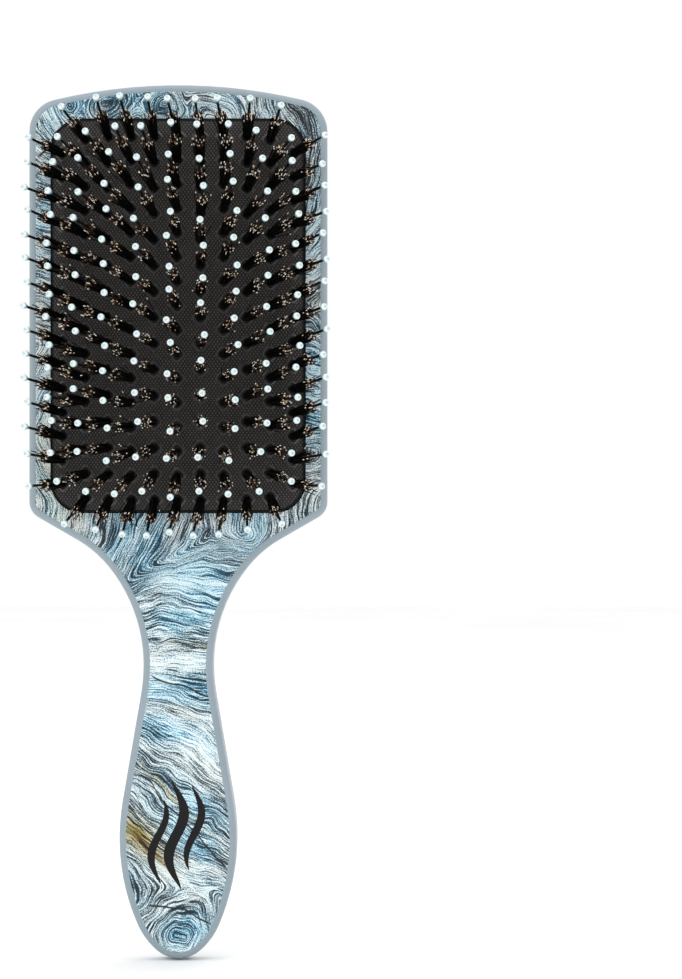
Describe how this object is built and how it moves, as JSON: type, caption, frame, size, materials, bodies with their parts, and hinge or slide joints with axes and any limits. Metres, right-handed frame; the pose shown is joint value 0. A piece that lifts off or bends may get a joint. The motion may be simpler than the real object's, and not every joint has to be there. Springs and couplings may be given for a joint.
{
  "type": "paddle hairbrush",
  "caption": "Paddle hairbrush with printed front and back, a soft air cushion, bristle tufts and ball-tipped pins, and a tapered flat grip.",
  "frame": {"origin": "on the flat back, behind the middle of the cushion", "axes": "+Z along the brush towards the head's top, +Y out of the flat back, so the bristles point along -Y; +X to the right as seen from the bristle side"},
  "size_m": [0.087, 0.0397, 0.25],
  "materials": {
    "shell_plastic": "satin grey-blue moulded plastic",
    "print_film": "weathered wood grain print in blue, white and charcoal under clear film",
    "cushion_rubber": "matt charcoal rubber with a fine woven texture",
    "clamp_plastic": "plain black plastic",
    "anchor_nylon": "plain black nylon",
    "bristle": "black bristles with tan ends",
    "pin_nylon": "black nylon with a soft gloss",
    "pin_tip": "pale aqua, glossy"
  },
  "bodies": {
    "casing": {"back_shell": "shell_plastic", "front_shell": "shell_plastic", "back_print_film": "print_film", "front_print_film": "print_film", "pad_clamp_frame": "clamp_plastic"},
    "cushion": {"cushion_pad": "cushion_rubber"},
    "column_01": {"tuft_anchors_column_01": "anchor_nylon", "bristle_tufts_column_01": "bristle", "pin_shafts_column_01": "pin_nylon", "pin_tips_column_01": "pin_tip"},
    "column_02": {"tuft_anchors_column_02": "anchor_nylon", "bristle_tufts_column_02": "bristle", "pin_shafts_column_02": "pin_nylon", "pin_tips_column_02": "pin_tip"},
    "column_03": {"tuft_anchors_column_03": "anchor_nylon", "bristle_tufts_column_03": "bristle", "pin_shafts_column_03": "pin_nylon", "pin_tips_column_03": "pin_tip"},
    "column_04": {"tuft_anchors_column_04": "anchor_nylon", "bristle_tufts_column_04": "bristle", "pin_shafts_column_04": "pin_nylon", "pin_tips_column_04": "pin_tip"},
    "column_05": {"tuft_anchors_column_05": "anchor_nylon", "bristle_tufts_column_05": "bristle", "pin_shafts_column_05": "pin_nylon", "pin_tips_column_05": "pin_tip"},
    "column_06": {"tuft_anchors_column_06": "anchor_nylon", "bristle_tufts_column_06": "bristle", "pin_shafts_column_06": "pin_nylon", "pin_tips_column_06": "pin_tip"},
    "column_07": {"tuft_anchors_column_07": "anchor_nylon", "bristle_tufts_column_07": "bristle", "pin_shafts_column_07": "pin_nylon", "pin_tips_column_07": "pin_tip"},
    "column_08": {"tuft_anchors_column_08": "anchor_nylon", "bristle_tufts_column_08": "bristle", "pin_shafts_column_08": "pin_nylon", "pin_tips_column_08": "pin_tip"},
    "column_09": {"tuft_anchors_column_09": "anchor_nylon", "bristle_tufts_column_09": "bristle", "pin_shafts_column_09": "pin_nylon", "pin_tips_column_09": "pin_tip"},
    "column_10": {"tuft_anchors_column_10": "anchor_nylon", "bristle_tufts_column_10": "bristle", "pin_shafts_column_10": "pin_nylon", "pin_tips_column_10": "pin_tip"},
    "column_11": {"tuft_anchors_column_11": "anchor_nylon", "bristle_tufts_column_11": "bristle", "pin_shafts_column_11": "pin_nylon", "pin_tips_column_11": "pin_tip"}
  },
  "joints": [
    {"name": "cushion_press", "type": "slide", "parent": "casing", "child": "cushion", "axis": [0, 1, 0], "range_m": [0, 0.003], "stiffness_N_per_m": 1500, "deforming": ["cushion_pad"]},
    {"name": "column_01_sway", "type": "hinge", "parent": "cushion", "child": "column_01", "pos_m": [-0.03275, -0.0146, 0], "axis": [0, 0, 1], "range_deg": [-10, 10], "stiffness_Nm_per_rad": 0.5},
    {"name": "column_02_sway", "type": "hinge", "parent": "cushion", "child": "column_02", "pos_m": [-0.0262, -0.0164, 0], "axis": [0, 0, 1], "range_deg": [-10, 10], "stiffness_Nm_per_rad": 0.5},
    {"name": "column_03_sway", "type": "hinge", "parent": "cushion", "child": "column_03", "pos_m": [-0.01965, -0.01764, 0], "axis": [0, 0, 1], "range_deg": [-10, 10], "stiffness_Nm_per_rad": 0.5},
    {"name": "column_04_sway", "type": "hinge", "parent": "cushion", "child": "column_04", "pos_m": [-0.0131, -0.01839, 0], "axis": [0, 0, 1], "range_deg": [-10, 10], "stiffness_Nm_per_rad": 0.5},
    {"name": "column_05_sway", "type": "hinge", "parent": "cushion", "child": "column_05", "pos_m": [-0.00655, -0.01874, 0], "axis": [0, 0, 1], "range_deg": [-10, 10], "stiffness_Nm_per_rad": 0.5},
    {"name": "column_06_sway", "type": "hinge", "parent": "cushion", "child": "column_06", "pos_m": [0, -0.01882, 0], "axis": [0, 0, 1], "range_deg": [-10, 10], "stiffness_Nm_per_rad": 0.5},
    {"name": "column_07_sway", "type": "hinge", "parent": "cushion", "child": "column_07", "pos_m": [0.00655, -0.01874, 0], "axis": [0, 0, 1], "range_deg": [-10, 10], "stiffness_Nm_per_rad": 0.5},
    {"name": "column_08_sway", "type": "hinge", "parent": "cushion", "child": "column_08", "pos_m": [0.0131, -0.01839, 0], "axis": [0, 0, 1], "range_deg": [-10, 10], "stiffness_Nm_per_rad": 0.5},
    {"name": "column_09_sway", "type": "hinge", "parent": "cushion", "child": "column_09", "pos_m": [0.01965, -0.01764, 0], "axis": [0, 0, 1], "range_deg": [-10, 10], "stiffness_Nm_per_rad": 0.5},
    {"name": "column_10_sway", "type": "hinge", "parent": "cushion", "child": "column_10", "pos_m": [0.0262, -0.0164, 0], "axis": [0, 0, 1], "range_deg": [-10, 10], "stiffness_Nm_per_rad": 0.5},
    {"name": "column_11_sway", "type": "hinge", "parent": "cushion", "child": "column_11", "pos_m": [0.03275, -0.0146, 0], "axis": [0, 0, 1], "range_deg": [-10, 10], "stiffness_Nm_per_rad": 0.5}
  ]
}
